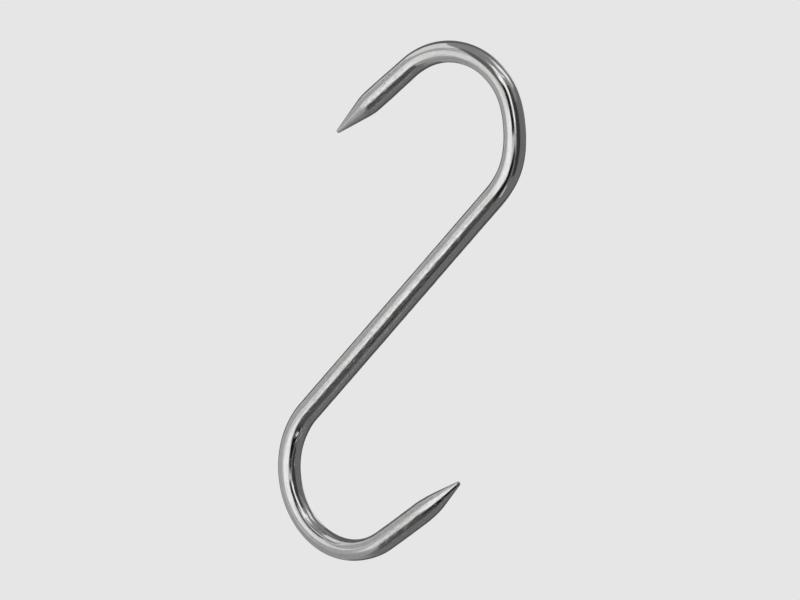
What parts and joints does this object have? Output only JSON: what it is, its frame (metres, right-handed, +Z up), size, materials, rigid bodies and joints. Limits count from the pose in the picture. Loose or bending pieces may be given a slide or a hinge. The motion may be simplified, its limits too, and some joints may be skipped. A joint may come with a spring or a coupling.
{
  "type": "s hook",
  "caption": "S-shaped hook bent from round stainless bar, with a ground blunt point at each end, for hanging a load from a rail.",
  "frame": {"origin": "the rail seat: the place on the inside of the upper bend where a rail carries the hook", "axes": "+Z up, from the load to the rail, through both seats; +X towards the opening of the lower hook; the hook lies in the XZ plane, so Y is its thickness, and -Y is the side that is seen"},
  "size_m": [0.0893, 0.008, 0.1833],
  "materials": {
    "polished_stainless": "drawn bar polished to a bright finish, with fine lengthwise streaks and ground points"
  },
  "bodies": {
    "root": {"hook": "polished_stainless"}
  },
  "joints": []
}
